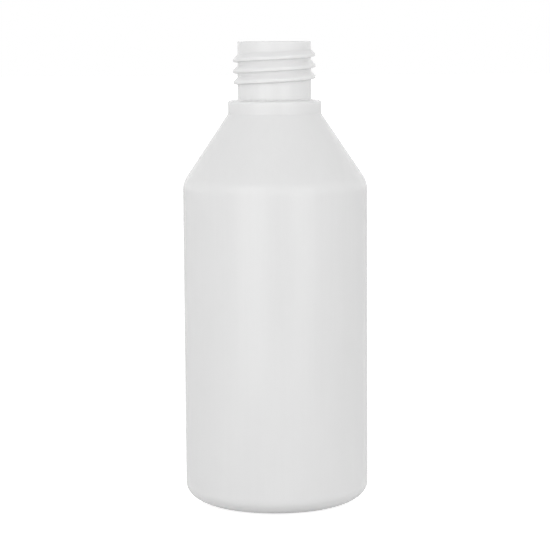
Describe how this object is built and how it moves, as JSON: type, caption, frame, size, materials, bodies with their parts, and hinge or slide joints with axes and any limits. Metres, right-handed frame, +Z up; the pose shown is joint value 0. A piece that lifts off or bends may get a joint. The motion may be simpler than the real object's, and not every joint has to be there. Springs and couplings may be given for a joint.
{
  "type": "spout bottle",
  "caption": "Round translucent plastic bottle with a sloping shoulder, a collar and an open screw neck that takes a spout, cap or pump.",
  "frame": {"origin": "middle of the plane the bottle stands on", "axes": "+Z up through the middle of the mouth; -Y is the side the picture shows"},
  "size_m": [0.053, 0.053, 0.133],
  "materials": {
    "natural_plastic": "satin, milky translucent natural polyethylene"
  },
  "bodies": {
    "root": {"bottle": "natural_plastic"}
  },
  "joints": []
}
